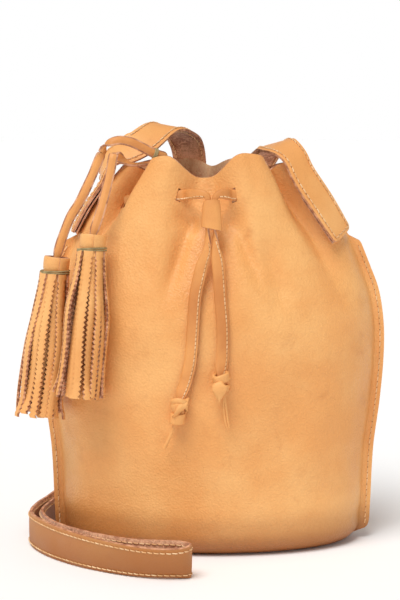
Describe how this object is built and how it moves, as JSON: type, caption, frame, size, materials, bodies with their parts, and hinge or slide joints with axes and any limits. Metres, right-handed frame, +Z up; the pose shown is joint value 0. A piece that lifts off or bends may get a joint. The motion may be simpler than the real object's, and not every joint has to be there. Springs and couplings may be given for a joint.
{
  "type": "bucket bag",
  "caption": "Drawstring bucket bag in tan leather: oval base, finned side seams, long strap, sliding cord keeper, knotted cord ends and hanging tassels.",
  "frame": {"origin": "middle of the base panel's underside, on the ground", "axes": "+Z up, the front of the bag faces -Y, the wearer's left of the pictured front is -X"},
  "size_m": [0.2726, 0.2353, 0.3151],
  "materials": {
    "body_leather": "natural vegetable-tanned grain, soft sheen",
    "strap_leather": "smooth natural grain, raw edges",
    "cord_leather": "folded and stitched natural leather",
    "tassel_leather": "natural grain with pinked raw edges",
    "raw_leather": "raw brown cut edge",
    "cream_thread": "waxed cream thread",
    "olive_thread": "waxed olive thread"
  },
  "bodies": {
    "bag": {"front_panel": "body_leather", "back_panel": "body_leather", "base_panel": "body_leather", "base_seam_thread": "cream_thread", "left_seam_thread": "cream_thread", "right_seam_thread": "cream_thread", "shoulder_strap": "strap_leather", "left_strap_backing": "raw_leather", "left_strap_thread": "cream_thread", "right_strap_backing": "raw_leather", "right_strap_thread": "cream_thread", "drawstring": "cord_leather", "tassel_loop": "cord_leather", "loop_binding": "olive_thread"},
    "keeper": {"cord_keeper": "cord_leather"},
    "left_end": {"left_cord_end": "cord_leather", "left_knot": "cord_leather"},
    "right_end": {"right_cord_end": "cord_leather", "right_knot": "cord_leather"},
    "left_hanger": {"left_tassel_cord": "cord_leather"},
    "left_tassel": {"left_tassel_fringe": "tassel_leather", "left_tassel_tie": "olive_thread"},
    "right_hanger": {"right_tassel_cord": "cord_leather"},
    "right_tassel": {"right_tassel_fringe": "tassel_leather", "right_tassel_tie": "olive_thread"}
  },
  "joints": [
    {"name": "keeper_slide", "type": "slide", "parent": "bag", "child": "keeper", "axis": [0, -0.1289, -0.9917], "range_m": [0, 0.01]},
    {"name": "left_end_lift", "type": "hinge", "parent": "bag", "child": "left_end", "pos_m": [-0.0041, -0.0602, 0.2263], "axis": [-1, 0, 0], "range_deg": [0, 75]},
    {"name": "right_end_lift", "type": "hinge", "parent": "bag", "child": "right_end", "pos_m": [0.0017, -0.0602, 0.2263], "axis": [-1, 0, 0], "range_deg": [0, 75]},
    {"name": "left_hanger_swing", "type": "hinge", "parent": "bag", "child": "left_hanger", "pos_m": [-0.0814, -0.0346, 0.2915], "axis": [0, 1, 0], "range_deg": [0, 40]},
    {"name": "left_tassel_swing", "type": "hinge", "parent": "left_hanger", "child": "left_tassel", "pos_m": [-0.1129, -0.0376, 0.2206], "axis": [0, 1, 0], "range_deg": [0, 35]},
    {"name": "right_hanger_swing", "type": "hinge", "parent": "bag", "child": "right_hanger", "pos_m": [-0.072, -0.0394, 0.291], "axis": [-1, 0, 0], "range_deg": [0, 60]},
    {"name": "right_tassel_swing", "type": "hinge", "parent": "right_hanger", "child": "right_tassel", "pos_m": [-0.0853, -0.0546, 0.2385], "axis": [-1, 0, 0], "range_deg": [0, 40]}
  ]
}
